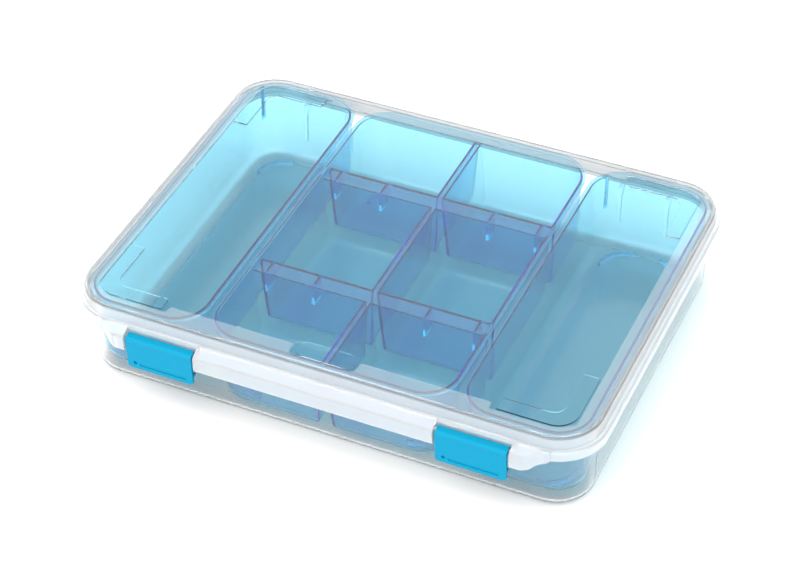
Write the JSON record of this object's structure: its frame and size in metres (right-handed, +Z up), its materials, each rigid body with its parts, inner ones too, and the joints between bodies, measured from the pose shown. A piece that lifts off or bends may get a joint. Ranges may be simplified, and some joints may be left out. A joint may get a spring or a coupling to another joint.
{
  "type": "parts organizer",
  "caption": "Clear clip-lid case for small parts, with a hinged lid, front snap clips and lift-out compartment trays.",
  "frame": {"origin": "centre of the overall box, at the level of the foot ring on the underside", "axes": "+X to the right along the long side as seen from the clips, +Y towards the hinge side, +Z up out of the lid"},
  "size_m": [0.3546, 0.2797, 0.0623],
  "materials": {
    "clear_case": "clear colourless moulded plastic, frosted outside the lid's window",
    "clip_plastic": "opaque teal-blue moulded plastic",
    "tray_plastic": "translucent light-blue moulded plastic",
    "pin": "plain drawn steel"
  },
  "bodies": {
    "base": {"base_box": "clear_case", "hinge_pin_left": "pin", "hinge_pin_right": "pin"},
    "lid": {"lid": "clear_case"},
    "clip_left": {"clip_left": "clip_plastic"},
    "clip_right": {"clip_right": "clip_plastic"},
    "tray_left": {"tray_left": "tray_plastic"},
    "tray_center": {"tray_center": "tray_plastic"},
    "tray_right": {"tray_right": "tray_plastic"}
  },
  "joints": [
    {"name": "lid_hinge", "type": "hinge", "parent": "base", "child": "lid", "pos_m": [0, 0.1367, 0.047], "axis": [-1, 0, 0], "range_deg": [0, 110]},
    {"name": "clip_left_pivot", "type": "hinge", "parent": "lid", "child": "clip_left", "pos_m": [-0.105, -0.135, 0.0475], "axis": [-1, 0, 0], "range_deg": [0, 90]},
    {"name": "clip_right_pivot", "type": "hinge", "parent": "lid", "child": "clip_right", "pos_m": [0.105, -0.135, 0.0475], "axis": [-1, 0, 0], "range_deg": [0, 90]},
    {"name": "tray_left_lift", "type": "slide", "parent": "base", "child": "tray_left", "axis": [0, 0, 1], "range_m": [0, 0.0212]},
    {"name": "tray_center_lift", "type": "slide", "parent": "base", "child": "tray_center", "axis": [0, 0, 1], "range_m": [0, 0.0212]},
    {"name": "tray_right_lift", "type": "slide", "parent": "base", "child": "tray_right", "axis": [0, 0, 1], "range_m": [0, 0.0212]}
  ],
  "couplings": [
    {"joint": "tray_left_lift", "follows": "lid_hinge", "m_per_rad": 0.011},
    {"joint": "tray_center_lift", "follows": "lid_hinge", "m_per_rad": 0.011},
    {"joint": "tray_right_lift", "follows": "lid_hinge", "m_per_rad": 0.011}
  ]
}
